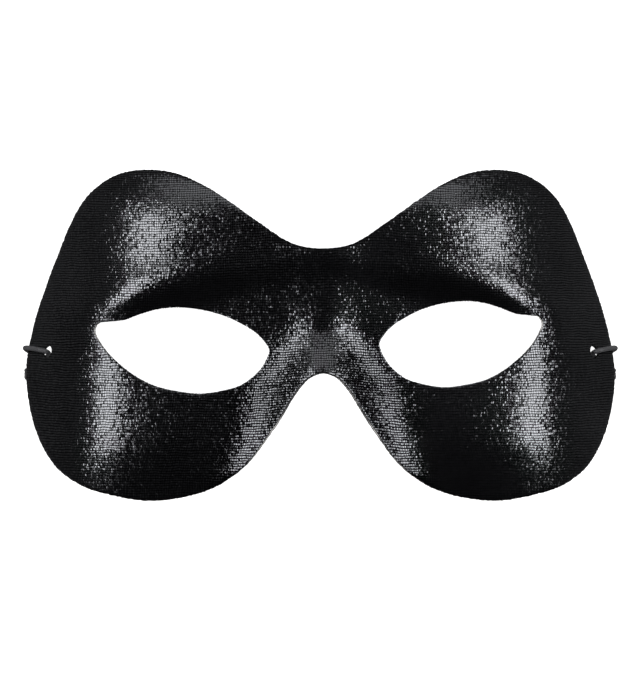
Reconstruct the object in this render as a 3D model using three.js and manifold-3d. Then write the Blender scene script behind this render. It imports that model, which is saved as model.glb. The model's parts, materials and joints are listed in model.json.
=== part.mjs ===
// Costume eye mask: a stiff moulded cloth shell with eye openings, worn on a thin round elastic.
// Millimetres, +Z up. The mask lies face up as it rests by itself, forehead towards +Y.
// The shell is drawn in a face frame: x to the side, h up the face and d out of the face.
import * as THREE from "three";
import { mergeVertices } from "three/addons/utils/BufferGeometryUtils.js";
import Module from "manifold-3d";

// The shell
const MASK_WIDTH = 177.2;
const MASK_HEIGHT = 99.2;
const WALL = 1.2;
const TEMPLE_DEPTH = 25.8; // how far the rear edges lie behind the cheeks
const FOREHEAD_ROLL = 7.5; // how far the top edge falls back from the brows
const CHEEK_ROLL = 3.5; // how far the bottom edge falls back from the cheeks
const BROW_RISE = 2; // the forehead stands this far before the cheeks
const BROW_RIDGE = 1.1; // the ridge that runs along the brow line
const SOCKET_RECESS = 1.6; // the hollow round each eye opening
const CHEEK_BULGE = 2;
const NOSE_HEIGHT = 12; // the nose above the cheeks, at the top of the arch
const EYE_LENGTH = 50.8;
const EYE_HEIGHT = 25.6;
const EYE_SPACING = 84; // from the middle of one opening to the other
const EYE_DROP = 4; // the openings' middle below the middle of the mask

// The elastic and how it is tied on
const TIE_HOLE = 4;
const TIE_HOLE_INSET = 6.2; // from the widest point of the mask, seen from the front
const TIE_HOLE_DROP = 5; // below the middle of the mask
const ELASTIC = 1.5;
const KNOT = 4;
const KNOT_LENGTH = 4.5;
const GAP = 0.3; // between pieces that touch

const HALF_WIDTH = MASK_WIDTH / 2;
const HALF_HEIGHT = MASK_HEIGHT / 2;

// Half of the outline, from the dip at the top round the side to the top of the nose arch.
// Columns are shares of HALF_WIDTH and HALF_HEIGHT.
const OUTLINE = [
  { side: 0, up: 0.52 },
  { side: 0.102, up: 0.55 },
  { side: 0.215, up: 0.678 },
  { side: 0.32, up: 0.812 },
  { side: 0.406, up: 0.909 },
  { side: 0.497, up: 0.978 },
  { side: 0.587, up: 1 },
  { side: 0.677, up: 0.98 },
  { side: 0.745, up: 0.919 },
  { side: 0.801, up: 0.825 },
  { side: 0.851, up: 0.671 },
  { side: 0.892, up: 0.49 },
  { side: 0.938, up: 0.272 },
  { side: 0.976, up: 0.054 },
  { side: 1, up: -0.192 },
  { side: 0.991, up: -0.417 },
  { side: 0.955, up: -0.635 },
  { side: 0.898, up: -0.8 },
  { side: 0.818, up: -0.905 },
  { side: 0.722, up: -0.962 },
  { side: 0.581, up: -1 },
  { side: 0.444, up: -0.968 },
  { side: 0.344, up: -0.899 },
  { side: 0.261, up: -0.78 },
  { side: 0.2, up: -0.635 },
  { side: 0.146, up: -0.49 },
  { side: 0.0925, up: -0.335 },
  { side: 0.05, up: -0.254 },
  { side: 0, up: -0.224 },
];

// An eye opening about its own middle. Columns are shares of EYE_LENGTH, outwards, and EYE_HEIGHT.
const EYE = [
  { out: -0.502, up: 0.016 },
  { out: -0.433, up: 0.207 },
  { out: -0.335, up: 0.332 },
  { out: -0.236, up: 0.422 },
  { out: -0.12, up: 0.484 },
  { out: 0.02, up: 0.512 },
  { out: 0.138, up: 0.488 },
  { out: 0.236, up: 0.43 },
  { out: 0.325, up: 0.366 },
  { out: 0.413, up: 0.346 },
  { out: 0.472, up: 0.328 },
  { out: 0.498, up: 0.246 },
  { out: 0.463, up: 0.094 },
  { out: 0.394, up: -0.07 },
  { out: 0.276, up: -0.262 },
  { out: 0.157, up: -0.391 },
  { out: 0.02, up: -0.461 },
  { out: -0.118, up: -0.488 },
  { out: -0.256, up: -0.445 },
  { out: -0.343, up: -0.387 },
  { out: -0.433, up: -0.25 },
  { out: -0.484, up: -0.102 },
];

// The two openings aren't cut quite alike: columns are a factor on the length and shifts as shares.
const EYE_CUTS = {
  left: { side: -1, stretch: 1.03, out: 0.006, up: -0.037 },
  right: { side: 1, stretch: 0.97, out: -0.006, up: 0.037 },
};

// How the shell wraps round the face at each height. It turns back at bend, the more softly the larger
// round is, and has fallen back by depth, a share of TEMPLE_DEPTH, at half. The other columns are shares
// of HALF_WIDTH and HALF_HEIGHT.
const WRAP = [
  { up: -1, half: 1, depth: 0.8, bend: 0.785, round: 0.066 },
  { up: -0.5, half: 1, depth: 0.82, bend: 0.78, round: 0.064 },
  { up: -0.24, half: 1, depth: 0.87, bend: 0.735, round: 0.062 },
  { up: 0.02, half: 0.98, depth: 1, bend: 0.742, round: 0.068 },
  { up: 0.35, half: 0.921, depth: 0.965, bend: 0.735, round: 0.1 },
  { up: 0.6, half: 0.867, depth: 0.895, bend: 0.72, round: 0.13 },
  { up: 0.85, half: 0.818, depth: 0.75, bend: 0.72, round: 0.15 },
  { up: 1, half: 0.79, depth: 0.64, bend: 0.72, round: 0.16 },
];

// The nose, whose lower part is what the arch leaves of it. rise is a share of NOSE_HEIGHT, wide of
// HALF_WIDTH.
const NOSE = [
  { up: -0.85, rise: 1.75, wide: 0.21 },
  { up: -0.65, rise: 1.39, wide: 0.192 },
  { up: -0.4, rise: 0.94, wide: 0.178 },
  { up: -0.22, rise: 0.7, wide: 0.136 },
  { up: -0.07, rise: 0.41, wide: 0.114 },
  { up: 0.05, rise: 0.22, wide: 0.1 },
  { up: 0.25, rise: 0.14, wide: 0.115 },
  { up: 0.6, rise: 0.12, wide: 0.13 },
];

// The line where forehead and eye socket meet. Columns are shares of HALF_WIDTH and HALF_HEIGHT.
const BROW = [
  { side: 0, up: 0.47 },
  { side: 0.12, up: 0.42 },
  { side: 0.32, up: 0.36 },
  { side: 0.48, up: 0.3 },
  { side: 0.62, up: 0.235 },
  { side: 0.8, up: 0.14 },
];

// Where the other forms of the face lie, in the same shares. A pair is where a form begins and is complete.
const FOREHEAD_FOOT = 0.4;
const CHEEK_TOP = -0.5;
const BROW_BAND = [-0.16, 0.06]; // about the brow line
const RIDGE = { up: 0.06, high: 0.1 }; // above the brow line
const SOCKET = { inner: [0.14, 0.4], outer: [0.86, 0.6], top: [0, -0.2], bottom: [-0.52, -0.16] };
const BULGE = { side: 0.47, up: -0.58, wide: 0.27, high: 0.28 };

// Columns and rings of the shell's mesh, from each eye opening to the edge of its half
const EDGE_STEPS = 74;
const RIDGE_STEPS = 11;
const RINGS = 9;
const EDGE_SAMPLES = 600; // along half of the outline, before it is divided evenly
const EYE_SAMPLES = 400;
const HOLE_FACETS = 24;
const FACETS = 8; // round the elastic
const LOOP_STEPS = 34;
const ELASTIC_STEPS = 80;

// The tie loop from the knot up the inside, out through the tie hole and back over the rear edge.
// Columns are millimetres from the middle of the hole: out to the side, up the face, and lift from the
// outer face.
const KNOT_PLACE = { out: 7.4, up: -6, lift: -2.9 };
const TIE_ROUTE = [
  { out: 4.6, up: -3.6, lift: -2.3 },
  { out: 2.6, up: -1.8, lift: -2.3 },
  { out: 1.1, up: -0.5, lift: -2.3 },
  { out: 0.25, up: 0, lift: -0.6 },
  { out: 1.1, up: 0.2, lift: 1.1 },
  { out: 2.6, up: 0.5, lift: 1.1 },
  { out: 4.2, up: 0.7, lift: 1.1 },
  { out: 5.2, up: 0.8, lift: 1.15 },
  { out: 6, up: 0.8, lift: 0.8 },
  { out: 6.25, up: 0.7, lift: -0.1 },
  { out: 6.2, up: 0.5, lift: -1.2 },
  { out: 5.9, up: 0, lift: -2.2 },
  { out: 5.5, up: -1.1, lift: -2.6 },
  { out: 6, up: -2.6, lift: -2.75 },
];

// The elastic from one knot to the middle of its length, lying on the surface under the mask.
const ELASTIC_ROUTE = [
  { x: 82.6, y: -18.4, z: 1.5 },
  { x: 79, y: -14.5, z: 0.95 },
  { x: 77.2, y: -4, z: 0.8 },
  { x: 76.9, y: 10, z: 0.8 },
  { x: 71.5, y: 24.5, z: 0.8 },
  { x: 60, y: 33.5, z: 0.8 },
  { x: 46.5, y: 35.5, z: 0.8 },
  { x: 35, y: 29.5, z: 0.8 },
  { x: 26, y: 19.5, z: 0.8 },
  { x: 17, y: 10, z: 0.8 },
  { x: 8, y: 5, z: 0.8 },
  { x: 0, y: 3.6, z: 0.8 },
];

// A smooth value of one column of a table, at a share along its key column.
function along(rows, key, column, share) {
  const last = rows.length - 1;
  const rising = rows[last][key] > rows[0][key];
  const at = rising ? rows : [...rows].reverse();
  const slope = (i) => {
    const a = at[Math.max(i - 1, 0)];
    const b = at[Math.min(i + 1, last)];
    return (b[column] - a[column]) / (b[key] - a[key]);
  };
  let i = 0;
  while (i < last - 1 && at[i + 1][key] < share) i++;
  const width = at[i + 1][key] - at[i][key];
  const t = THREE.MathUtils.clamp((share - at[i][key]) / width, 0, 1);
  const rest = 1 - t;
  const ends = at[i][column] * (1 + 2 * t) * rest * rest + at[i + 1][column] * (3 - 2 * t) * t * t;
  return ends + (slope(i) * rest - slope(i + 1) * t) * t * rest * width;
}

// From 0 to 1 between the two ends of a span, which may also run downwards.
function grown(value, [from, to]) {
  const share = (value - from) / (to - from);
  return THREE.MathUtils.smoothstep(share, 0, 1);
}

const hill = (distance) => Math.exp(-(distance ** 2));

// How far the outer face stands out of the face at a place on the mask.
function depthAt(side, h) {
  const across = Math.abs(side) / HALF_WIDTH;
  const up = h / HALF_HEIGHT;
  const wrapped = (column) => along(WRAP, "up", column, up);
  const bend = wrapped("bend");
  const round = wrapped("round");
  const fallen = (share) => Math.log1p(Math.exp((share - bend) / round));
  const wrap = (-TEMPLE_DEPTH * wrapped("depth") * fallen(across)) / fallen(wrapped("half"));
  const forehead = -FOREHEAD_ROLL * (Math.max(up - FOREHEAD_FOOT, 0) / (1 - FOREHEAD_FOOT)) ** 3;
  const cheeks = -CHEEK_ROLL * (Math.max(CHEEK_TOP - up, 0) / (1 + CHEEK_TOP)) ** 2;
  const nose = NOSE_HEIGHT * along(NOSE, "up", "rise", up) * hill(across / along(NOSE, "up", "wide", up));
  const overBrow = up - along(BROW, "side", "up", across);
  const brow = BROW_RISE * grown(overBrow, BROW_BAND);
  const beside = grown(across, SOCKET.inner) * grown(across, SOCKET.outer);
  const ridge = BROW_RIDGE * beside * hill((overBrow - RIDGE.up) / RIDGE.high);
  const socket = -SOCKET_RECESS * beside * grown(overBrow, SOCKET.top) * grown(up, SOCKET.bottom);
  const bulge = CHEEK_BULGE * hill((across - BULGE.side) / BULGE.wide) * hill((up - BULGE.up) / BULGE.high);
  return wrap + forehead + cheeks + nose + brow + ridge + socket + bulge;
}

// A place on the shell: lift is the distance out of its outer face.
const SLOPE_STEP = 0.05;

function onShell(side, h, lift) {
  const slope = (dx, dh) => (depthAt(side + dx, h + dh) - depthAt(side - dx, h - dh)) / (2 * SLOPE_STEP);
  const normal = new THREE.Vector3(-slope(SLOPE_STEP, 0), -slope(0, SLOPE_STEP), 1).normalize();
  return new THREE.Vector3(side, h, depthAt(side, h)).addScaledVector(normal, lift);
}

// The outline as a closed curve. Its first half runs down the +x side.
const outlineHalf = OUTLINE.map((p) => new THREE.Vector3(p.side * HALF_WIDTH, p.up * HALF_HEIGHT, 0));
const outlineBack = outlineHalf.slice(1, -1).reverse();
const outline = new THREE.CatmullRomCurve3(
  [...outlineHalf, ...outlineBack.map((p) => new THREE.Vector3(-p.x, p.y, 0))],
  true,
  "centripetal",
);

// One eye opening as a closed curve on the +x side, round the shared middle of both.
const eyeMiddle = new THREE.Vector2(EYE_SPACING / 2, -EYE_DROP);

function eyeCurve(cut) {
  const points = EYE.map(
    (p) =>
      new THREE.Vector3(
        eyeMiddle.x + (p.out * cut.stretch + cut.out) * EYE_LENGTH,
        eyeMiddle.y + (p.up + cut.up) * EYE_HEIGHT,
        0,
      ),
  );
  return new THREE.CatmullRomCurve3(points, true, "centripetal");
}

// Where the ray from the eye's middle towards a point crosses a closed curve round it.
function crossing(samples, towards) {
  const turnFrom = (p) => {
    const a = Math.atan2(p.y - eyeMiddle.y, p.x - eyeMiddle.x);
    const b = Math.atan2(towards.y - eyeMiddle.y, towards.x - eyeMiddle.x);
    return Math.atan2(Math.sin(a - b), Math.cos(a - b));
  };
  for (let i = 0; i < samples.length; i++) {
    const p = samples[i];
    const q = samples[(i + 1) % samples.length];
    const a = turnFrom(p);
    const b = turnFrom(q);
    if (a * b <= 0 && Math.abs(a - b) < 1 && a !== b) return p.clone().lerp(q, a / (a - b));
  }
  throw new Error("an eye opening reaches round its own middle");
}

// The edge of one half: down the outline, then up the ridge of the nose to the dip.
function halfEdge() {
  const points = [];
  const course = [];
  for (let i = 0; i <= EDGE_SAMPLES; i++) course.push(outline.getPoint(i / EDGE_SAMPLES / 2));
  const run = [0];
  for (let i = 1; i <= EDGE_SAMPLES; i++) run.push(run[i - 1] + course[i].distanceTo(course[i - 1]));
  for (let k = 0; k < EDGE_STEPS; k++) {
    const wanted = (k / EDGE_STEPS) * run[EDGE_SAMPLES];
    const i = run.findIndex((length, n) => n > 0 && length >= wanted);
    points.push(course[i - 1].clone().lerp(course[i], (wanted - run[i - 1]) / (run[i] - run[i - 1])));
  }
  const arch = course[EDGE_SAMPLES];
  for (let k = 0; k < RIDGE_STEPS; k++) points.push(arch.clone().lerp(course[0], k / RIDGE_STEPS));
  return points;
}

// Both walls of one half of the shell, and the rims that join them at its edge and round its eye opening.
function halfShell(cut, corners, faces) {
  const edge = halfEdge();
  const eye = eyeCurve(cut).getPoints(EYE_SAMPLES).slice(0, -1);
  const columns = edge.map((p) => ({ from: crossing(eye, p), to: p }));
  const base = corners.length;
  const index = (column, ring, wall) =>
    base + ((column % columns.length) * (RINGS + 1) + ring) * 2 + wall;
  for (const { from, to } of columns) {
    for (let ring = 0; ring <= RINGS; ring++) {
      const p = from.clone().lerp(to, ring / RINGS);
      corners.push(onShell(cut.side * p.x, p.y, 0), onShell(cut.side * p.x, p.y, -WALL));
    }
  }
  const quad = (a, b, c, d) => {
    if (cut.side > 0) faces.push([a, b, c], [a, c, d]);
    else faces.push([a, c, b], [a, d, c]);
  };
  columns.forEach((_, k) => {
    for (let ring = 0; ring < RINGS; ring++) {
      quad(index(k, ring, 0), index(k + 1, ring, 0), index(k + 1, ring + 1, 0), index(k, ring + 1, 0));
      quad(index(k, ring, 1), index(k, ring + 1, 1), index(k + 1, ring + 1, 1), index(k + 1, ring, 1));
    }
    quad(index(k, 0, 1), index(k + 1, 0, 1), index(k + 1, 0, 0), index(k, 0, 0));
    if (k >= EDGE_STEPS) return; // the ridge of the nose, where the two halves meet
    quad(index(k, RINGS, 0), index(k + 1, RINGS, 0), index(k + 1, RINGS, 1), index(k, RINGS, 1));
  });
}

const wasm = await Module();
wasm.setup();

function solidOf(geometry) {
  const bare = geometry.clone();
  bare.deleteAttribute("normal");
  bare.deleteAttribute("uv");
  const merged = mergeVertices(bare, 1e-4);
  const triVerts = new Uint32Array(merged.index.array);
  const vertProperties = new Float32Array(merged.attributes.position.array);
  return new wasm.Manifold(new wasm.Mesh({ numProp: 3, vertProperties, triVerts }));
}

function geometryOf(solid) {
  const mesh = solid.getMesh();
  const geometry = new THREE.BufferGeometry();
  geometry.setAttribute("position", new THREE.BufferAttribute(new Float32Array(mesh.vertProperties), 3));
  geometry.setIndex(new THREE.BufferAttribute(new Uint32Array(mesh.triVerts), 1));
  geometry.computeVertexNormals();
  return geometry;
}

// Where the tie hole is on each side, seen from the front
const holeX = HALF_WIDTH - TIE_HOLE_INSET;
const holeH = -TIE_HOLE_DROP;

function shellGeometry() {
  const corners = [];
  const faces = [];
  for (const cut of Object.values(EYE_CUTS)) halfShell(cut, corners, faces);
  const geometry = new THREE.BufferGeometry();
  geometry.setAttribute("position", new THREE.Float32BufferAttribute(corners.flatMap((p) => p.toArray()), 3));
  geometry.setIndex(faces.flat());
  let shell = solidOf(geometry);
  for (const side of [-1, 1]) {
    const drill = new THREE.CylinderGeometry(TIE_HOLE / 2, TIE_HOLE / 2, 8 * WALL, HOLE_FACETS);
    const middle = onShell(side * holeX, holeH, -WALL / 2);
    const axis = onShell(side * holeX, holeH, 1).sub(middle).normalize();
    const turn = new THREE.Quaternion().setFromUnitVectors(new THREE.Vector3(0, 1, 0), axis);
    drill.applyQuaternion(turn).translate(middle.x, middle.y, middle.z);
    shell = shell.subtract(solidOf(drill));
  }
  return geometryOf(shell);
}

// The middle of the shell's own weight, from its faces.
function balancePoint(geometry) {
  const { position } = geometry.attributes;
  const [a, b, c] = [0, 1, 2].map(() => new THREE.Vector3());
  const sum = new THREE.Vector3();
  let area = 0;
  for (let i = 0; i < geometry.index.count; i += 3) {
    [a, b, c].forEach((corner, k) => corner.fromBufferAttribute(position, geometry.index.getX(i + k)));
    const triangle = new THREE.Triangle(a, b, c);
    const size = triangle.getArea();
    sum.addScaledVector(triangle.getMidpoint(new THREE.Vector3()), size);
    area += size;
  }
  return sum.divideScalar(area);
}

// The tilt at which the shell rests face up, forehead low. It tips forwards as long as its lowest point
// lies before its balance, so the tilt is lowered until it doesn't and then halved in on.
const STEEPEST = Math.PI / 4;
const TILT_STEP = STEEPEST / 50;

function restingTilt(geometry) {
  const balance = balancePoint(geometry);
  const { position } = geometry.attributes;
  const tipsBack = (tilt) => {
    const reachOf = (h, d) => h * Math.cos(tilt) + d * Math.sin(tilt);
    let lowest = Infinity;
    let foot = 0;
    for (let i = 0; i < position.count; i++) {
      const [h, d] = [position.getY(i), position.getZ(i)];
      const height = d * Math.cos(tilt) - h * Math.sin(tilt);
      if (height < lowest) [lowest, foot] = [height, reachOf(h, d)];
    }
    return foot < reachOf(balance.y, balance.z);
  };
  let low = STEEPEST;
  while (!tipsBack(low) && low > -STEEPEST) low -= TILT_STEP;
  let high = low + TILT_STEP;
  for (let pass = 0; pass < 30; pass++) {
    const middle = (low + high) / 2;
    if (tipsBack(middle)) low = middle;
    else high = middle;
  }
  return (low + high) / 2;
}

// A round strand along a route.
function strand(points, steps, thickness) {
  const route = new THREE.CatmullRomCurve3(points, false, "centripetal");
  const section = new THREE.Shape();
  for (let i = 0; i < FACETS; i++) {
    const turn = (i / FACETS) * 2 * Math.PI;
    const corner = [(thickness / 2) * Math.cos(turn), (thickness / 2) * Math.sin(turn)];
    if (i) section.lineTo(...corner);
    else section.moveTo(...corner);
  }
  return new THREE.ExtrudeGeometry(section, { steps, bevelEnabled: false, extrudePath: route });
}

const coatedCloth = new THREE.MeshStandardMaterial({ color: 0x0b0b0d, roughness: 0.42, metalness: 0 });
const elasticBraid = new THREE.MeshStandardMaterial({ color: 0x101011, roughness: 0.7, metalness: 0 });

function named(name, geometry, material) {
  const mesh = new THREE.Mesh(geometry, material);
  mesh.name = name;
  return mesh;
}

const shellShape = shellGeometry();
const tilt = restingTilt(shellShape);

// Everything that is placed by the face frame hangs in this group, which lays the mask on the surface.
const face = new THREE.Group();
face.rotation.x = -tilt;
face.add(named("mask_shell", shellShape, coatedCloth));
face.updateMatrixWorld(true);
const reach = new THREE.Box3().setFromObject(face, true);
face.position.set(0, -(reach.min.y + reach.max.y) / 2, -reach.min.z);
face.updateMatrixWorld(true);

const mask = new THREE.Group();
mask.add(face);

// Where a strand that heads for a point leaves the knot.
function leavesKnot(knot, towards) {
  const way = towards.clone().sub(knot).normalize();
  const half = new THREE.Vector3(KNOT / 2, KNOT_LENGTH / 2, KNOT / 2);
  const radius = 1 / Math.hypot(way.x / half.x, way.y / half.y, way.z / half.z);
  return knot.clone().addScaledVector(way, radius + GAP);
}

const knotEnds = [];
for (const [name, side] of [["left", -1], ["right", 1]]) {
  const beside = (place) => onShell(side * (holeX + place.out), holeH + place.up, place.lift);
  const knot = beside(KNOT_PLACE);
  const shape = new THREE.SphereGeometry(KNOT / 2, 12, 8).scale(1, KNOT_LENGTH / KNOT, 1);
  face.add(named(`${name}_knot`, shape.translate(knot.x, knot.y, knot.z), elasticBraid));
  const loop = TIE_ROUTE.map(beside);
  const ends = [leavesKnot(knot, loop[0]), leavesKnot(knot, loop.at(-1))];
  const tie = strand([ends[0], ...loop, ends[1]], LOOP_STEPS, ELASTIC);
  face.add(named(`${name}_tie_loop`, tie, elasticBraid));
  const onward = new THREE.Vector3(side * ELASTIC_ROUTE[0].x, ELASTIC_ROUTE[0].y, ELASTIC_ROUTE[0].z);
  knotEnds.push(face.localToWorld(leavesKnot(knot, face.worldToLocal(onward))));
}

const rightHalf = ELASTIC_ROUTE.map((p) => new THREE.Vector3(p.x, p.y, p.z));
const leftHalf = rightHalf.slice(0, -1).map((p) => new THREE.Vector3(-p.x, p.y, p.z));
const elasticRoute = [knotEnds[0], ...leftHalf, ...rightHalf.reverse(), knotEnds[1]];
mask.add(named("elastic_cord", strand(elasticRoute, ELASTIC_STEPS, ELASTIC), elasticBraid));

export default mask;
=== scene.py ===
import json
import math

import bpy
import numpy as np
from mathutils import Matrix, Vector


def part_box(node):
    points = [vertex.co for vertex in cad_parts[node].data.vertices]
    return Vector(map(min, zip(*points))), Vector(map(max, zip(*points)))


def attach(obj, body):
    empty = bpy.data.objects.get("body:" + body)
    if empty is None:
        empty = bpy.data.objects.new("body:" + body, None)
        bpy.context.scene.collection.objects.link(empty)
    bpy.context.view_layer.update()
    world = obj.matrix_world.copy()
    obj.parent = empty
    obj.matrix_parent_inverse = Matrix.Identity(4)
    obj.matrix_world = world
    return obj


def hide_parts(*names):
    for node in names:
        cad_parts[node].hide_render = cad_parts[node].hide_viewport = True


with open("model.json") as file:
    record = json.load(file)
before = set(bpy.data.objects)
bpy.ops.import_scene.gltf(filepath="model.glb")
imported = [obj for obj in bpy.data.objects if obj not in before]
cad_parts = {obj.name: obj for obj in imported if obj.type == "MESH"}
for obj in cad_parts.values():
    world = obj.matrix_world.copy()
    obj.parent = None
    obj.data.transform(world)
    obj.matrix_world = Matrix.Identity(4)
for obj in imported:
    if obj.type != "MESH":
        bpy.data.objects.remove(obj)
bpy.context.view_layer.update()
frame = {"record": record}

bpy.ops.object.select_all(action="DESELECT")

# Camera
# It looks straight at the face of the mask as it lies, from a little to the left of its nose. It is
# far off, and its view is narrow, so that one pixel is PIXEL wide at the faces of the lobes.
MM = 0.001
PHOTO = (640, 700)
PIXEL = 0.3 * MM
FACE_PIXEL = (321.5, 335)  # where the middle of the mask lies in the photograph
CAMERA_REACH = 2.5
CAMERA_YAW = 1.5
FACE_PLANE = -14 * MM  # the depth at which a pixel is measured

seat = next(m for m in frame["record"]["mounts"] if m["name"] == "face_seat")
side_way = Vector((1, 0, 0))
out_way = -Vector(seat["axis"]).normalized()
up_way = out_way.cross(side_way)
face_frame = Matrix((side_way, up_way, out_way)).transposed()
face_middle = Vector(seat["pos_m"])


def in_world(places):
    """Places on the face, in millimetres to the side, up and out, as points of the frame."""
    turned = np.asarray(places, float) * MM @ np.array(face_frame.transposed())
    return turned + np.array(face_middle)


aim_side = (PHOTO[0] / 2 - FACE_PIXEL[0]) * PIXEL
aim_up = (FACE_PIXEL[1] - PHOTO[1] / 2) * PIXEL
aim = face_middle + aim_side * side_way + aim_up * up_way + FACE_PLANE * out_way
yaw = math.radians(CAMERA_YAW)
back_way = math.cos(yaw) * out_way - math.sin(yaw) * side_way
right_way = up_way.cross(back_way)
lens = bpy.data.cameras.new("camera")
lens.sensor_width = 36
lens.lens = lens.sensor_width * CAMERA_REACH / (PHOTO[1] * PIXEL)
lens.clip_end = 50
camera = bpy.data.objects.new("camera", lens)
bpy.context.scene.collection.objects.link(camera)
view_axes = Matrix((right_way, up_way, back_way)).transposed().to_4x4()
camera.matrix_world = Matrix.Translation(aim + CAMERA_REACH * back_way) @ view_axes
bpy.context.scene.camera = camera

# Elastic
# A round rubber core in a braided black cover, knotted to a loop at each temple. It lies slack on
# the table under the mask, in bends that the mask hides.
ELASTIC = 1.5
STRAND_SIDES = 20
BRAID_PITCH = 1.1
BRAID_YARNS = 6
BRAID_RELIEF = 0.12
ROUTE_STEPS = 24
ELASTIC_POINTS = 420
ELASTIC_SUNK = 0.4  # how far the elastic's ends reach into the knots
KNOT_HALF = (2, 2.25, 2)  # half of each knot to the side, up and out
ELASTIC_ROUTE = [  # right half, from the knot to the middle, in the frame
    (82.6, -18.4, 1.5),
    (79, -14.5, 0.95),
    (77.2, -4, 0.8),
    (76.9, 10, 0.8),
    (71.5, 24.5, 0.8),
    (60, 33.5, 0.8),
    (46.5, 35.5, 0.8),
    (35, 29.5, 0.8),
    (26, 19.5, 0.8),
    (17, 10, 0.8),
    (8, 5, 0.8),
    (0, 3.6, 0.8),
]


def node(tree, kind, inputs=None, **settings):
    """One shader node. Its inputs are values, or sockets of nodes that feed it."""
    made = tree.nodes.new("ShaderNode" + kind)
    for name, value in settings.items():
        setattr(made, name, value)
    for name, value in (inputs or {}).items():
        if isinstance(value, bpy.types.NodeSocket):
            tree.links.new(value, made.inputs[name])
        else:
            made.inputs[name].default_value = value
    return made


def calc(tree, operation, *values):
    """The result of one Math node."""
    return node(tree, "Math", dict(enumerate(values)), operation=operation).outputs[0]


def finish_of(name, roughness, specular):
    """A new material with its Principled shader: the material, its tree and the shader."""
    material = bpy.data.materials.new(name)
    material.use_nodes = True
    tree = material.node_tree
    shader = tree.nodes["Principled BSDF"]
    shader.inputs["Roughness"].default_value = roughness
    shader.inputs["Specular IOR Level"].default_value = specular
    return material, tree, shader


def braided_cover():
    """Fine diagonal yarns crossing both ways, each a rounded ridge, dull black with some lint, and
    painted shade in the grooves between the ridges.
    """
    material, tree, shader = finish_of("braided_cover", 0.62, 0.35)
    place = node(tree, "UVMap", uv_map="strand")
    parts = node(tree, "SeparateXYZ", {"Vector": place.outputs["UV"]})
    round_turns, length = parts.outputs["X"], calc(tree, "DIVIDE", parts.outputs["Y"], BRAID_PITCH)
    yarns_round = calc(tree, "MULTIPLY", round_turns, BRAID_YARNS)
    ridges = []
    for lean in (1, -1):
        along_yarn = calc(tree, "MULTIPLY_ADD", length, lean, yarns_round)
        wave = calc(tree, "COSINE", calc(tree, "MULTIPLY", along_yarn, 2 * math.pi))
        ridges.append(wave)
    height = calc(tree, "MULTIPLY_ADD", calc(tree, "MAXIMUM", *ridges), 0.5, 0.5)
    lint = node(tree, "TexNoise", {"Vector": place.outputs["UV"], "Scale": 3, "Detail": 4})
    # Painted shade: the colour is the height of the yarns times the lint, so it is darkest in the
    # grooves between the yarns and lighter on their crowns.
    shade = node(
        tree,
        "ValToRGB",
        {"Fac": calc(tree, "MULTIPLY", height, lint.outputs["Fac"])},
    )
    shade.color_ramp.elements[0].color = (0.006, 0.006, 0.007, 1)
    shade.color_ramp.elements[1].color = (0.05, 0.05, 0.054, 1)
    bump = node(
        tree,
        "Bump",
        {"Height": height, "Strength": 0.9, "Distance": BRAID_RELIEF * MM},
    )
    tree.links.new(shade.outputs["Color"], shader.inputs["Base Color"])
    tree.links.new(bump.outputs["Normal"], shader.inputs["Normal"])
    return material


def smooth_course(points, steps, closed=False):
    """Points along a smooth line through the given ones, with steps between each two of them."""
    points = np.asarray(points, float)
    if closed:
        ring = np.vstack([points[-1:], points, points[:2]])
    else:
        ring = np.vstack([2 * points[0] - points[1], points, 2 * points[-1] - points[-2]])
    t = np.linspace(0, 1, steps, endpoint=False)[:, None]
    course = []
    for a, b, c, d in zip(ring, ring[1:], ring[2:], ring[3:]):
        pairs = ((a, b), (b, c), (c, d))
        before, here, after = (math.sqrt(np.linalg.norm(q - p)) for p, q in pairs)
        leave = ((b - a) / before - (c - a) / (before + here) + (c - b) / here) * here
        reach = ((c - b) / here - (d - b) / (here + after) + (d - c) / after) * here
        bend, twist = 3 * (c - b) - 2 * leave - reach, 2 * (b - c) + leave + reach
        course.append(b + leave * t + bend * t**2 + twist * t**3)
    if not closed:
        course.append(points[-1:])
    return np.vstack(course)


def run_of(course):
    """How far each point of a course is from its start, along it."""
    return np.append(0, np.cumsum(np.linalg.norm(np.diff(course, axis=0), axis=1)))


def evenly(course, count):
    """The given number of points at even distances along a course."""
    run = run_of(course)
    wanted = np.linspace(0, run[-1], count)
    return np.column_stack([np.interp(wanted, run, line) for line in course.T])


def mesh_piece(name, corners, faces, materials):
    """A new piece from corners in metres and faces."""
    mesh = bpy.data.meshes.new(name)
    mesh.from_pydata([tuple(p) for p in corners], [], faces)
    for material in materials:
        mesh.materials.append(material)
    piece = bpy.data.objects.new(name, mesh)
    bpy.context.scene.collection.objects.link(piece)
    return piece


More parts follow.
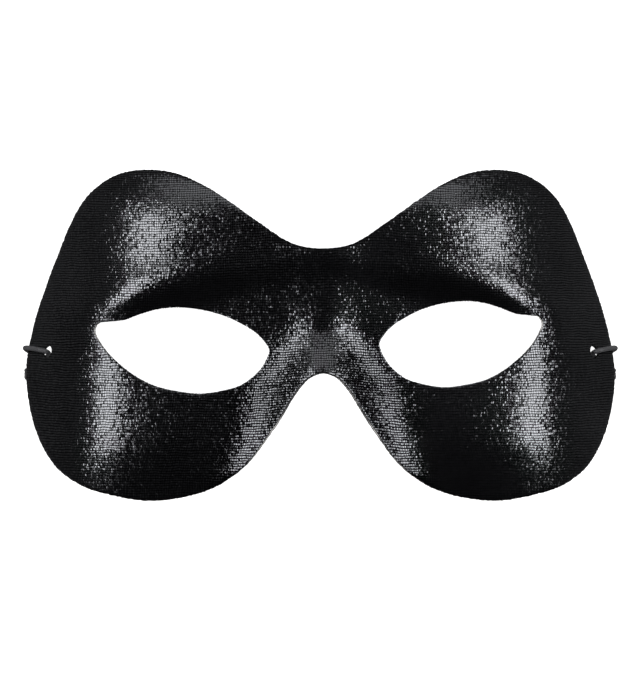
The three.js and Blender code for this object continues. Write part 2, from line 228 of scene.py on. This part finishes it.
def strand(name, course, thickness, material):
    """A round strand along a course in metres, with round ends, mapped in turns and millimetres."""
    radius = thickness * MM / 2
    ways = np.gradient(course, axis=0)
    ways /= np.linalg.norm(ways, axis=1)[:, None]
    across = Vector(ways[0]).orthogonal().normalized()
    caps = [(-0.95, 0.3), (-0.75, 0.66), (-0.4, 0.92)]  # how far past the end and how wide
    rings = []
    frames = []
    for way in ways:
        across = (across - across.dot(Vector(way)) * Vector(way)).normalized()
        frames.append((np.array(across), np.array(Vector(way).cross(across))))
    rows = [(0, shift, size) for shift, size in caps]
    rows += [(i, 0, 1) for i in range(len(course))]
    rows += [(len(course) - 1, -shift, size) for shift, size in reversed(caps)]
    turns = np.linspace(0, 2 * math.pi, STRAND_SIDES, endpoint=False)
    for i, shift, size in rows:
        one, other = frames[i]
        middle = course[i] + shift * radius * ways[i]
        circle = np.outer(np.cos(turns), one) + np.outer(np.sin(turns), other)
        rings.append(middle + size * radius * circle)
    corners = np.vstack(rings + [course[0] - radius * ways[0], course[-1] + radius * ways[-1]])
    faces = []
    for r in range(len(rows) - 1):
        for k in range(STRAND_SIDES):
            a, b = r * STRAND_SIDES + k, r * STRAND_SIDES + (k + 1) % STRAND_SIDES
            faces.append((a, b, b + STRAND_SIDES, a + STRAND_SIDES))
    first, last = len(corners) - 2, len(corners) - 1
    end = (len(rows) - 1) * STRAND_SIDES
    for k in range(STRAND_SIDES):
        other = (k + 1) % STRAND_SIDES
        faces.append((first, other, k))
        faces.append((last, end + k, end + other))
    piece = mesh_piece(name, corners, faces, [material])
    run = run_of(course) / MM
    lengths = [run[i] for i, _, _ in rows]
    uv = piece.data.uv_layers.new(name="strand")
    for polygon in piece.data.polygons:
        ks = [v % STRAND_SIDES for v in polygon.vertices if v < first]
        wraps = max(ks) - min(ks) > 1
        for loop, v in zip(polygon.loop_indices, polygon.vertices):
            if v >= first:
                uv.data[loop].uv = (0.5, lengths[0 if v == first else -1])
                continue
            k = v % STRAND_SIDES
            turn = 1 if wraps and k == 0 else k / STRAND_SIDES
            uv.data[loop].uv = (turn, lengths[v // STRAND_SIDES])
    piece.data.shade_smooth()
    return piece


cover = braided_cover()
knot_middles = {}
for side_name in ("left", "right"):
    low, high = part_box(f"{side_name}_knot")
    knot_middles[side_name] = (low + high) / 2


def leaves_knot(knot, towards, sunk):
    """Where a strand that heads for a place on the face ends, sunk a little into a knot."""
    way = np.asarray(towards, float) - knot
    way /= np.linalg.norm(way)
    reach = 1 / np.linalg.norm(way / np.array(KNOT_HALF))
    return knot + (reach - sunk) * way


def on_face(point):
    """A point of the frame in metres as a place on the face in millimetres."""
    return np.array((Vector(point) - face_middle) @ face_frame) / MM


right_route = [Vector(p) * MM for p in ELASTIC_ROUTE]
left_route = [Vector((-p.x, p.y, p.z)) for p in right_route[:-1]]
elastic_ends = []
for side_name, nearest in (("left", left_route[0]), ("right", right_route[0])):
    knot = on_face(knot_middles[side_name])
    elastic_ends.append(in_world(leaves_knot(knot, on_face(nearest), ELASTIC_SUNK)))
elastic_points = [elastic_ends[0], *left_route, *reversed(right_route), elastic_ends[1]]
elastic_course = evenly(smooth_course(elastic_points, ROUTE_STEPS), ELASTIC_POINTS)
elastic_cord = strand("elastic", elastic_course, ELASTIC, cover)
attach(elastic_cord, "root")
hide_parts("elastic_cord")

# Tie loops
# At each temple the elastic's end comes up inside the shell, out through the hole, back over the
# rear edge and into the knot. The shell's form is worked out here, because the loops follow it.
HALF_WIDTH = 88.6
HALF_HEIGHT = 49.6
WALL = 1.2
TEMPLE_DEPTH = 25.8
FOREHEAD_ROLL = 7.5
CHEEK_ROLL = 3.5
BROW_RISE = 2
BROW_RIDGE = 1.1
SOCKET_RECESS = 1.6
CHEEK_BULGE = 2
NOSE_HEIGHT = 12
FOREHEAD_FOOT = 0.4  # where the forehead starts to roll back, as a share of half the height
CHEEK_TOP = -0.5
BROW_BAND = (-0.16, 0.06)  # about the brow line
RIDGE = {"up": 0.06, "high": 0.1}  # above the brow line
SOCKET = {"inner": (0.14, 0.4), "outer": (0.6, 0.86), "top": (0, 0.2), "bottom": (-0.52, -0.16)}
BULGE = {"side": 0.47, "up": -0.58, "wide": 0.27, "high": 0.28}
SLOPE_STEP = 0.05
TIE_HOLE = (82.4, -5)
KNOT_PLACE = (7.4, -6, -2.9)  # from the middle of the hole: to the side, up, and out of the face
LOOP_STEPS = 12
LOOP_POINTS = 150
LOOP_SUNK = 0.9
TIE_ROUTE = [  # measured as the knot's place is
    (4.6, -3.6, -2.3),
    (2.6, -1.8, -2.3),
    (1.1, -0.5, -2.3),
    (0.25, 0, -0.6),
    (1.1, 0.2, 1.1),
    (2.6, 0.5, 1.1),
    (4.2, 0.7, 1.1),
    (5.2, 0.8, 1.15),
    (6, 0.8, 0.8),
    (6.25, 0.7, -0.1),
    (6.2, 0.5, -1.2),
    (5.9, 0, -2.2),
    (5.5, -1.1, -2.6),
    (6, -2.6, -2.75),
]
WRAP = {  # how the shell wraps round the face, from the bottom up
    "up": (-1, -0.5, -0.24, 0.02, 0.35, 0.6, 0.85, 1),
    "half": (1, 1, 1, 0.98, 0.921, 0.867, 0.818, 0.79),
    "depth": (0.8, 0.82, 0.87, 1, 0.965, 0.895, 0.75, 0.64),
    "bend": (0.785, 0.78, 0.735, 0.742, 0.735, 0.72, 0.72, 0.72),
    "round": (0.066, 0.064, 0.062, 0.068, 0.1, 0.13, 0.15, 0.16),
}
NOSE = {
    "up": (-0.85, -0.65, -0.4, -0.22, -0.07, 0.05, 0.25, 0.6),
    "rise": (1.75, 1.39, 0.94, 0.7, 0.41, 0.22, 0.14, 0.12),
    "wide": (0.21, 0.192, 0.178, 0.136, 0.114, 0.1, 0.115, 0.13),
}
BROW = {
    "side": (0, 0.12, 0.32, 0.48, 0.62, 0.8),
    "up": (0.47, 0.42, 0.36, 0.3, 0.235, 0.14),
}


def along(keys, values, share):
    """A smooth value between the rows of a table."""
    keys, values = np.array(keys, float), np.array(values, float)
    slopes = np.empty(len(keys))
    slopes[1:-1] = (values[2:] - values[:-2]) / (keys[2:] - keys[:-2])
    slopes[[0, -1]] = (np.diff(values) / np.diff(keys))[[0, -1]]
    i = np.clip(np.searchsorted(keys, share) - 1, 0, len(keys) - 2)
    width = keys[i + 1] - keys[i]
    t = np.clip((share - keys[i]) / width, 0, 1)
    rest = 1 - t
    ends = values[i] * (1 + 2 * t) * rest**2 + values[i + 1] * (3 - 2 * t) * t**2
    return ends + (slopes[i] * rest - slopes[i + 1] * t) * t * rest * width


def step_up(value, low, high):
    """Rises smoothly from 0 at low to 1 at high."""
    t = np.clip((value - low) / (high - low), 0, 1)
    return t * t * (3 - 2 * t)


def depth_at(side, h):
    """How far out the shell's outer face stands, in millimetres, at places to the side and up."""
    across = np.abs(side) / HALF_WIDTH
    up = h / HALF_HEIGHT
    columns = ("half", "depth", "bend", "round")
    half, depth, bend, softness = (along(WRAP["up"], WRAP[name], up) for name in columns)
    fallen, at_edge = (np.log1p(np.exp((x - bend) / softness)) for x in (across, half))
    wrap = -TEMPLE_DEPTH * depth * (fallen / at_edge)
    forehead = -FOREHEAD_ROLL * (np.maximum(up - FOREHEAD_FOOT, 0) / (1 - FOREHEAD_FOOT)) ** 3
    cheeks = -CHEEK_ROLL * (np.maximum(CHEEK_TOP - up, 0) / (1 + CHEEK_TOP)) ** 2
    rise, wide = (along(NOSE["up"], NOSE[name], up) for name in ("rise", "wide"))
    nose = NOSE_HEIGHT * rise * np.exp(-((across / wide) ** 2))
    above_brow = up - along(BROW["side"], BROW["up"], across)
    brow = BROW_RISE * step_up(above_brow, *BROW_BAND)
    fade = step_up(across, *SOCKET["inner"]) * (1 - step_up(across, *SOCKET["outer"]))
    ridge = BROW_RIDGE * fade * np.exp(-(((above_brow - RIDGE["up"]) / RIDGE["high"]) ** 2))
    recess = step_up(-above_brow, *SOCKET["top"]) * step_up(up, *SOCKET["bottom"])
    socket = -SOCKET_RECESS * fade * recess
    beside, over = (across - BULGE["side"]) / BULGE["wide"], (up - BULGE["up"]) / BULGE["high"]
    bulge = CHEEK_BULGE * np.exp(-(beside**2) - over**2)
    return wrap + forehead + cheeks + nose + brow + ridge + socket + bulge


def slopes_at(side, h):
    """How steeply the outer face rises to the side and upwards."""
    step = SLOPE_STEP
    to_side = (depth_at(side + step, h) - depth_at(side - step, h)) / (2 * step)
    upwards = (depth_at(side, h + step) - depth_at(side, h - step)) / (2 * step)
    return to_side, upwards


def on_shell(side, h, lift):
    """Places in millimetres on the face that lie at a distance out of the shell's outer face."""
    to_side, upwards = slopes_at(side, h)
    normal = np.stack([-to_side, -upwards, np.ones_like(to_side)], axis=-1)
    normal /= np.linalg.norm(normal, axis=-1, keepdims=True)
    return np.stack([side, h, depth_at(side, h)], axis=-1) + np.asarray(lift)[..., None] * normal


def beside_hole(sign, places):
    """Places from the middle of one side's tie hole as places on the face."""
    to_side, up, lift = np.array(places, float).reshape(-1, 3).T
    return on_shell(sign * (TIE_HOLE[0] + to_side), TIE_HOLE[1] + up, lift)


SIDES = {"left": -1, "right": 1}
for side_name, sign in SIDES.items():
    knot = beside_hole(sign, KNOT_PLACE)[0]
    loop = beside_hole(sign, TIE_ROUTE)
    ends = [leaves_knot(knot, loop[end], LOOP_SUNK) for end in (0, -1)]
    course = smooth_course(in_world(np.vstack([ends[0], loop, ends[1]])), LOOP_STEPS)
    course = evenly(course, LOOP_POINTS)
    tie_loop = strand(f"{side_name}_loop", course, ELASTIC, cover)
    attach(tie_loop, "root")
    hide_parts(f"{side_name}_tie_loop")

# Knots
# The elastic is tied to itself with an overhand knot drawn tight, and its end is cut off short.
KNOT_STRAND = 1.36  # the elastic is stretched thinner where it is drawn tight
KNOT_SPREAD = 0.49
KNOT_THICKNESS = 0.72
KNOT_STEPS = 120  # once round the closed knot
KNOT_START = 20
KNOT_KEPT = 112  # the steps that the elastic follows before its tail leaves them
KNOT_POINTS = 160
TAIL_LENGTH = 2.6
TAIL_POINTS = 8

for side_name, sign in SIDES.items():
    turns = np.linspace(0, 2 * math.pi, KNOT_STEPS, endpoint=False)
    bow = KNOT_SPREAD * (np.sin(turns) + 2 * np.sin(2 * turns))
    height = KNOT_SPREAD * (np.cos(turns) - 2 * np.cos(2 * turns))
    thick = -KNOT_THICKNESS * np.sin(3 * turns)
    round_knot = np.column_stack([sign * thick, height, bow])
    course = np.roll(round_knot, -KNOT_START, axis=0)[:KNOT_KEPT]
    tail_way = course[-1] - course[-4]
    tail_way /= np.linalg.norm(tail_way)
    tail = course[-1] + np.outer(np.linspace(0.2, TAIL_LENGTH, TAIL_POINTS), tail_way)
    middle = beside_hole(sign, KNOT_PLACE)[0]
    course = smooth_course(in_world(np.vstack([course, tail]) + middle), 2)
    course = evenly(course, KNOT_POINTS)
    knot = strand(f"{side_name}_tied_knot", course, KNOT_STRAND, cover)
    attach(knot, "root")
    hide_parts(f"{side_name}_knot")

# Mask shell
# One sheet of stiffened cloth, pressed over a form, coated satin black in front and left as it is
# behind. The eye openings, the tie holes and the outline are cut, and the cuts show the pale core.
EYE_LENGTH = 50.8
EYE_HEIGHT = 25.6
EYE_MIDDLE = (42, -4)
TIE_HOLE_WIDTH = 4
HOLE_SIDES = 48
EDGE_COLUMNS = 560
RIDGE_COLUMNS = 60
RINGS = 28
OUTLINE_STEPS = 24
EYE_STEPS = 40
CLOTH_STEPS = 40
FRAY = 0.05
EDGE_ROUND = 0.16
WARP_PITCH = 0.5
WEFT_PITCH = 0.78
COAT_RELIEF = 0.011
COAT_LEAN = 6
GAP_HEIGHT = 0.55  # how far up each crossing the uncoated gap reaches, where no patch lowers it
GAP_PATCHES = -0.5
GAP_FEATHER = 0.2
FLANK_PAINTED_SHADE = 0.3  # painted shade: how much further up the black gap reaches on the flanks of the nose, which darkens them
FLANK_START = (4 * MM, 10 * MM)  # from the middle of the mask to the side
FLANK_END = (26 * MM, 36 * MM)
FLANK_TOP = (-4 * MM, 4 * MM)
BARE_RELIEF = 0.12
CUT_RELIEF = 0.1
OUTLINE = [  # shares of half the width and half the height, from the dip to the nose arch
    (0, 0.52),
    (0.102, 0.55),
    (0.215, 0.678),
    (0.32, 0.812),
    (0.406, 0.909),
    (0.497, 0.978),
    (0.587, 1),
    (0.677, 0.98),
    (0.745, 0.919),
    (0.801, 0.825),
    (0.851, 0.671),
    (0.892, 0.49),
    (0.938, 0.272),
    (0.976, 0.054),
    (1, -0.192),
    (0.991, -0.417),
    (0.955, -0.635),
    (0.898, -0.8),
    (0.818, -0.905),
    (0.722, -0.962),
    (0.581, -1),
    (0.444, -0.968),
    (0.344, -0.899),
    (0.261, -0.78),
    (0.2, -0.635),
    (0.146, -0.49),
    (0.0925, -0.335),
    (0.05, -0.254),
    (0, -0.224),
]
EYE = [  # shares of the opening's length and height, from its inner corner over its top
    (-0.502, 0.016),
    (-0.433, 0.207),
    (-0.335, 0.332),
    (-0.236, 0.422),
    (-0.12, 0.484),
    (0.02, 0.512),
    (0.138, 0.488),
    (0.236, 0.43),
    (0.325, 0.366),
    (0.413, 0.346),
    (0.472, 0.328),
    (0.498, 0.246),
    (0.463, 0.094),
    (0.394, -0.07),
    (0.276, -0.262),
    (0.157, -0.391),
    (0.02, -0.461),
    (-0.118, -0.488),
    (-0.256, -0.445),
    (-0.343, -0.387),
    (-0.433, -0.25),
    (-0.484, -0.102),
]
# The two openings are cut a little unlike: how far each is stretched, and shifted out and up.
EYE_CUTS = {-1: (1.03, 0.006, -0.037), 1: (0.97, -0.006, 0.037)}


def weave_group():
    """A plain weave: each crossing is a small pillow that leans a little its own way."""
    group = bpy.data.node_groups.new("plain_weave", "ShaderNodeTree")
    sockets = group.interface
    sockets.new_socket("Place", in_out="INPUT", socket_type="NodeSocketVector")
    sockets.new_socket("Warp", in_out="INPUT", socket_type="NodeSocketFloat")
    sockets.new_socket("Weft", in_out="INPUT", socket_type="NodeSocketFloat")
    sockets.new_socket("Lean", in_out="INPUT", socket_type="NodeSocketFloat")
    sockets.new_socket("Pillow", in_out="OUTPUT", socket_type="NodeSocketFloat")
    sockets.new_socket("Height", in_out="OUTPUT", socket_type="NodeSocketFloat")
    sockets.new_socket("Crossing", in_out="OUTPUT", socket_type="NodeSocketFloat")
    entry = group.nodes.new("NodeGroupInput")
    result = group.nodes.new("NodeGroupOutput")
    drift = node(group, "TexNoise", {"Vector": entry.outputs["Place"], "Scale": 0.22, "Detail": 3})
    shift = node(group, "SeparateXYZ", {"Vector": drift.outputs["Color"]})
    place = node(group, "SeparateXYZ", {"Vector": entry.outputs["Place"]})
    cells = []
    for axis, pitch in (("X", "Warp"), ("Y", "Weft")):
        moved = calc(group, "MULTIPLY_ADD", shift.outputs[axis], 1.1, place.outputs[axis])
        count = calc(group, "DIVIDE", moved, entry.outputs[pitch])
        whole = calc(group, "FLOOR", count)
        part = calc(group, "SUBTRACT", calc(group, "SUBTRACT", count, whole), 0.5)
        crown = calc(group, "COSINE", calc(group, "MULTIPLY", part, math.pi))
        cells.append((whole, part, crown))
    (column, across_warp, over_warp), (row, across_weft, over_weft) = cells
    pillow = calc(group, "MULTIPLY", over_warp, over_weft)
    cell = node(group, "CombineXYZ", {"X": column, "Y": row})
    chance = node(group, "TexWhiteNoise", {"Vector": cell.outputs[0]}, noise_dimensions="2D")
    lean = node(group, "SeparateXYZ", {"Vector": chance.outputs["Color"]})
    slant = 0
    for part, axis in ((across_warp, "X"), (across_weft, "Y")):
        swing = calc(group, "MULTIPLY_ADD", lean.outputs[axis], 2, -1)
        swing = calc(group, "MULTIPLY", swing, calc(group, "ABSOLUTE", swing))
        slant = calc(group, "MULTIPLY_ADD", swing, part, slant)
    height = calc(group, "MULTIPLY_ADD", slant, entry.outputs["Lean"], pillow)
    group.links.new(pillow, result.inputs["Pillow"])
    group.links.new(height, result.inputs["Height"])
    group.links.new(chance.outputs["Value"], result.inputs["Crossing"])
    return group


weave = weave_group()


def cloth_weave(tree, lean):
    """The weave on the shell's own map, which is in millimetres along the cloth."""
    place = node(tree, "UVMap", uv_map="cloth")
    threads = node(tree, "Group", node_tree=weave)
    tree.links.new(place.outputs["UV"], threads.inputs["Place"])
    threads.inputs["Warp"].default_value = WARP_PITCH
    threads.inputs["Weft"].default_value = WEFT_PITCH
    threads.inputs["Lean"].default_value = lean
    return threads


def fading(tree, value, start, end):
    """1 up to the start, 0 from the end on."""
    return node(tree, "MapRange", {0: value, 1: start, 2: end, 3: 1, 4: 0}).outputs[0]


def coated_cloth():
    """Black cloth under a satin coat that fills the weave in some places more than in others, with
    painted shade on the flanks of the nose, and the crowns of the crossings painted lighter than the
    gaps between them.
    """
    material, tree, shader = finish_of("coated_cloth", 0.3, 0.9)
    shader.inputs["Specular Tint"].default_value = (0.93, 0.95, 1, 1)
    threads = cloth_weave(tree, COAT_LEAN)
    place = node(tree, "TexCoord").outputs["Object"]
    patches = node(tree, "TexNoise", {"Vector": place, "Scale": 60, "Detail": 5, "Roughness": 0.6})
    across, up, _ = node(tree, "SeparateXYZ", {0: place}).outputs
    away = calc(tree, "ABSOLUTE", across)
    # Painted shade: on the flanks of the nose more of each crossing is left as black gap, so that
    # they shine less.
    beside = calc(tree, "SUBTRACT", fading(tree, away, *FLANK_END), fading(tree, away, *FLANK_START))
    flank_shade = calc(tree, "MULTIPLY", beside, fading(tree, up, *FLANK_TOP))
    height = calc(tree, "MULTIPLY_ADD", patches.outputs["Fac"], GAP_PATCHES, GAP_HEIGHT)
    height = calc(tree, "MULTIPLY_ADD", flank_shade, FLANK_PAINTED_SHADE, height)
    top = calc(tree, "ADD", height, GAP_FEATHER)
    gap = fading(tree, threads.outputs["Pillow"], height, top)
    rough = calc(tree, "MULTIPLY_ADD", threads.outputs["Crossing"], 0.08, 0.16)
    # Painted highlight and shade: the base colour is a little lighter on the crowns of the crossings
    # and darker in the gaps between them.
    shade = node(tree, "ValToRGB", {"Fac": threads.outputs["Pillow"]})
    shade.color_ramp.elements[0].color = (0.0006, 0.0006, 0.0007, 1)
    shade.color_ramp.elements[1].color = (0.003, 0.003, 0.0034, 1)
    bump = node(
        tree,
        "Bump",
        {"Height": threads.outputs["Height"], "Strength": 1, "Distance": COAT_RELIEF * MM},
    )
    # A gap is made a black metal, so that nothing shines in it.
    tree.links.new(gap, shader.inputs["Metallic"])
    tree.links.new(shade.outputs["Color"], shader.inputs["Base Color"])
    tree.links.new(rough, shader.inputs["Roughness"])
    tree.links.new(bump.outputs["Normal"], shader.inputs["Normal"])
    return material


def bare_cloth():
    """The same cloth seen from behind: uncoated, dull and a little fluffy, with painted shade in the
    gaps between the threads.
    """
    material, tree, shader = finish_of("bare_cloth", 0.85, 0.2)
    threads = cloth_weave(tree, 0)
    place = node(tree, "TexCoord").outputs["Object"]
    fluff = node(tree, "TexNoise", {"Vector": place, "Scale": 900, "Detail": 6, "Roughness": 0.7})
    tone = calc(tree, "MULTIPLY", fluff.outputs["Fac"], threads.outputs["Height"])
    # Painted shade: the colour is the fluff times the height of the threads, so it is darkest in the
    # gaps between them.
    shade = node(tree, "ValToRGB", {"Fac": tone})
    shade.color_ramp.elements[0].color = (0.006, 0.006, 0.007, 1)
    shade.color_ramp.elements[1].color = (0.05, 0.05, 0.053, 1)
    bump = node(
        tree,
        "Bump",
        {"Height": tone, "Strength": 0.8, "Distance": BARE_RELIEF * MM},
    )
    tree.links.new(shade.outputs["Color"], shader.inputs["Base Color"])
    tree.links.new(bump.outputs["Normal"], shader.inputs["Normal"])
    return material


def cut_edge():
    """The cut through the cloth: a pale stiff core between black faces, dark where it took dye."""
    material, tree, shader = finish_of("cut_edge", 0.8, 0.25)
    layer = node(tree, "Attribute", attribute_name="into_wall")
    place = node(tree, "TexCoord").outputs["Object"]
    dye = node(tree, "TexNoise", {"Vector": place, "Scale": 75, "Detail": 3})
    fibre = node(tree, "TexNoise", {"Vector": place, "Scale": 1500, "Detail": 3})
    from_core = calc(tree, "ABSOLUTE", calc(tree, "SUBTRACT", layer.outputs["Fac"], 0.5))
    middle = calc(tree, "SUBTRACT", 1, from_core)
    tone = calc(tree, "MULTIPLY_ADD", dye.outputs["Fac"], 0.9, middle)
    tone = calc(tree, "MULTIPLY_ADD", fibre.outputs["Fac"], 0.35, tone)
    shade = node(tree, "ValToRGB", {"Fac": calc(tree, "SUBTRACT", tone, 0.8)})
    shade.color_ramp.elements[0].position = 0.72
    shade.color_ramp.elements[0].color = (0.008, 0.008, 0.009, 1)
    shade.color_ramp.elements[1].position = 0.92
    shade.color_ramp.elements[1].color = (0.5, 0.49, 0.47, 1)
    bump = node(
        tree,
        "Bump",
        {"Height": fibre.outputs["Fac"], "Strength": 0.6, "Distance": CUT_RELIEF * MM},
    )
    tree.links.new(shade.outputs["Color"], shader.inputs["Base Color"])
    tree.links.new(bump.outputs["Normal"], shader.inputs["Normal"])
    return material


def half_columns(sign, frayed):
    """Where each column of one half starts, at its eye opening, and ends, at the edge or ridge."""
    half = np.array(OUTLINE) * (HALF_WIDTH, HALF_HEIGHT)
    mirrored = half[-2:0:-1] * (-1, 1)
    course = smooth_course(np.vstack([half, mirrored]), OUTLINE_STEPS, closed=True)
    course = course[: OUTLINE_STEPS * (len(half) - 1) + 1]
    edge = evenly(course, EDGE_COLUMNS + 1)[:-1]
    shares = np.arange(RIDGE_COLUMNS) / RIDGE_COLUMNS
    ridge = course[-1] + np.outer(shares, course[0] - course[-1])
    stretch, out, up = EYE_CUTS[sign]
    eye = (np.array(EYE) * (stretch, 1) + (out, up)) * (EYE_LENGTH, EYE_HEIGHT)
    eye = smooth_course(eye, EYE_STEPS, closed=True)
    far = np.vstack([edge, ridge])
    way = far - EYE_MIDDLE
    turn = np.arctan2(way[:, 1], way[:, 0])
    eye_turn = np.arctan2(eye[:, 1], eye[:, 0])
    order = np.argsort(eye_turn)
    near = np.column_stack(
        [np.interp(turn, eye_turn[order], eye[order, axis], period=2 * math.pi) for axis in (0, 1)]
    )
    near += EYE_MIDDLE
    unit = way / np.linalg.norm(way, axis=1)[:, None]
    near += unit * frayed.normal(0, FRAY, len(near))[:, None]
    loose = frayed.normal(0, FRAY, len(far))
    loose[0] = 0
    loose[EDGE_COLUMNS:] = 0
    far += unit * loose[:, None]
    return near, far


def cloth_place(side, h):
    """Millimetres along the cloth from the middle of the mask: across, and up."""
    steps = np.linspace(0, 1, CLOTH_STEPS + 1)
    across = np.zeros_like(side)
    up = np.zeros_like(h)
    for t in (steps[1:] + steps[:-1]) / 2:
        across += np.hypot(1, slopes_at(side * t, h)[0])
        up += np.hypot(1, slopes_at(side, h * t)[1])
    return side * across / CLOTH_STEPS, h * up / CLOTH_STEPS


def shell_half(sign, frayed):
    """The outer face of one half, as a grid that is drawn round its eye opening."""
    near, far = half_columns(sign, frayed)
    columns = len(near)
    bpy.ops.mesh.primitive_grid_add(x_subdivisions=columns, y_subdivisions=RINGS, size=1)
    half = bpy.context.object
    flat = np.empty(len(half.data.vertices) * 3)
    half.data.vertices.foreach_get("co", flat)
    flat = flat.reshape(-1, 3) + 0.5
    column = np.rint(flat[:, 0] * columns).astype(int) % columns
    share = flat[:, 1][:, None]
    if sign < 0:
        column = -column % columns
    place = near[column] * (1 - share) + far[column] * share
    side, h = sign * place[:, 0], place[:, 1]
    half.data.vertices.foreach_set("co", in_world(on_shell(side, h, np.zeros_like(h))).ravel())
    across, up = cloth_place(side, h)
    corners = np.empty(len(half.data.loops), int)
    half.data.loops.foreach_get("vertex_index", corners)
    for layer in list(half.data.uv_layers):
        half.data.uv_layers.remove(layer)
    uv = half.data.uv_layers.new(name="cloth")
    uv.data.foreach_set("uv", np.column_stack([across, up])[corners].ravel())
    return half


def modify(piece, kind, **settings):
    """Adds one modifier to a piece and applies it."""
    bpy.context.view_layer.objects.active = piece
    modifier = piece.modifiers.new(kind.lower(), kind)
    for name, value in settings.items():
        setattr(modifier, name, value)
    bpy.ops.object.modifier_apply(modifier=modifier.name)


frayed = np.random.default_rng(11)
bpy.ops.object.select_all(action="DESELECT")
halves = [shell_half(sign, frayed) for sign in (-1, 1)]
for half in halves:
    half.select_set(True)
bpy.context.view_layer.objects.active = halves[0]
bpy.ops.object.join()
mask_shell = bpy.context.object
mask_shell.name = "mask_shell_cloth"
mask_shell.data.name = "mask_shell_cloth"
bpy.ops.object.mode_set(mode="EDIT")
bpy.ops.mesh.select_all(action="SELECT")
bpy.ops.mesh.remove_doubles(threshold=0.01 * MM)
bpy.ops.object.mode_set(mode="OBJECT")
mask_shell.matrix_world = Matrix.Identity(4)
for finish in (coated_cloth(), bare_cloth(), cut_edge()):
    mask_shell.data.materials.append(finish)
outer_corners = len(mask_shell.data.vertices)
modify(
    mask_shell,
    "SOLIDIFY",
    thickness=WALL * MM,
    offset=-1,
    use_even_offset=True,
    use_quality_normals=True,
    material_offset=1,
    material_offset_rim=2,
)
into_wall = mask_shell.data.attributes.new("into_wall", "FLOAT", "POINT")
layers = np.ones(len(mask_shell.data.vertices), np.float32)
layers[:outer_corners] = 0
into_wall.data.foreach_set("value", layers)
modify(
    mask_shell,
    "BEVEL",
    width=EDGE_ROUND * MM,
    segments=2,
    limit_method="ANGLE",
    angle_limit=math.radians(50),
)
for sign in SIDES.values():
    middle, above = in_world(beside_hole(sign, [(0, 0, -WALL / 2), (0, 0, 1)]))
    bpy.ops.mesh.primitive_cylinder_add(
        vertices=HOLE_SIDES,
        radius=TIE_HOLE_WIDTH / 2 * MM,
        depth=8 * WALL * MM,
        location=middle,
        rotation=Vector(above - middle).to_track_quat("Z", "X").to_euler(),
    )
    drill = bpy.context.object
    for finish in mask_shell.data.materials:
        drill.data.materials.append(finish)
    for polygon in drill.data.polygons:
        polygon.material_index = 2
    modify(mask_shell, "BOOLEAN", operation="DIFFERENCE", object=drill, solver="EXACT")
    bpy.data.objects.remove(drill)
bpy.ops.object.select_all(action="DESELECT")
mask_shell.select_set(True)
bpy.context.view_layer.objects.active = mask_shell
bpy.ops.object.shade_smooth_by_angle(angle=math.radians(40))
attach(mask_shell, "root")
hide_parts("mask_shell")

# Floor and light
# A pale table top, a tall softbox on each side of the mask and a weak one over its forehead.
FLOOR_WIDTH = 12
FLOOR_GLOW = 0.95
FLOOR_REFLECTED = 0.22  # what a glossy face sees of it

bpy.ops.mesh.primitive_plane_add(size=FLOOR_WIDTH)
floor = bpy.context.object
floor.name = "floor"
table_top, table_tree, table_shader = finish_of("table_top", 0.9, 0.1)
table_shader.inputs["Base Color"].default_value = (0.35, 0.35, 0.35, 1)
table_shader.inputs["Emission Color"].default_value = (1, 1, 1, 1)
table_shader.inputs["Emission Strength"].default_value = FLOOR_GLOW
reflected = node(table_tree, "Emission", {"Color": (1, 1, 1, 1), "Strength": FLOOR_REFLECTED})
ray = node(table_tree, "LightPath")
both = node(table_tree, "MixShader", {0: ray.outputs["Is Glossy Ray"]})
table_tree.links.new(table_shader.outputs[0], both.inputs[1])
table_tree.links.new(reflected.outputs[0], both.inputs[2])
table_tree.links.new(both.outputs[0], table_tree.nodes["Material Output"].inputs["Surface"])
floor.data.materials.append(table_top)

SOFTBOX_REACH = 0.75
SOFTBOX_TURNS = {"left": 44, "right": 45}
SOFTBOX_SIZE = (0.33, 0.73)
SOFTBOX_LIFT = 0.14
SOFTBOX_GLOW = 13
TOP_TURN = 58
TOP_SIZE = (0.9, 0.4)
TOP_GLOW = 2


def softbox(name, way, size, glow):
    """A softbox in a direction from the mask, facing it, with the radiance that it shows."""
    light = bpy.data.lights.new(name, "AREA")
    light.shape = "RECTANGLE"
    light.size, light.size_y = size
    light.energy = glow * math.pi * size[0] * size[1]
    lamp = bpy.data.objects.new(name, light)
    bpy.context.scene.collection.objects.link(lamp)
    place = face_middle + SOFTBOX_REACH * way
    across = up_way if abs(way.dot(up_way)) < 0.5 else out_way
    facing = way.normalized()
    right = across.cross(facing).normalized()
    axes = Matrix((right, facing.cross(right), facing)).transposed().to_4x4()
    lamp.matrix_world = Matrix.Translation(place) @ axes
    lamp.visible_camera = False


for side_name, sign in SIDES.items():
    turn = math.radians(SOFTBOX_TURNS[side_name])
    way = sign * math.sin(turn) * side_way + math.cos(turn) * out_way + SOFTBOX_LIFT * up_way
    softbox(f"{side_name}_softbox", way, SOFTBOX_SIZE, SOFTBOX_GLOW)
turn = math.radians(TOP_TURN)
way = math.sin(turn) * up_way + math.cos(turn) * out_way
softbox("top_softbox", way, TOP_SIZE, TOP_GLOW)

room = bpy.data.worlds.new("room")
bpy.context.scene.world = room
room.use_nodes = True
room_tree = room.node_tree
sky = node(room_tree, "TexCoord")
height = node(room_tree, "SeparateXYZ", {"Vector": sky.outputs["Generated"]}).outputs["Z"]
tone = node(room_tree, "ValToRGB", {"Fac": height})
tone.color_ramp.elements[0].position = 0.05
tone.color_ramp.elements[0].color = (0.12, 0.12, 0.12, 1)
tone.color_ramp.elements[1].position = 0.6
tone.color_ramp.elements[1].color = (0.01, 0.01, 0.01, 1)
room_tree.links.new(tone.outputs["Color"], room_tree.nodes["Background"].inputs["Color"])
bpy.context.scene.view_settings.view_transform = "Standard"
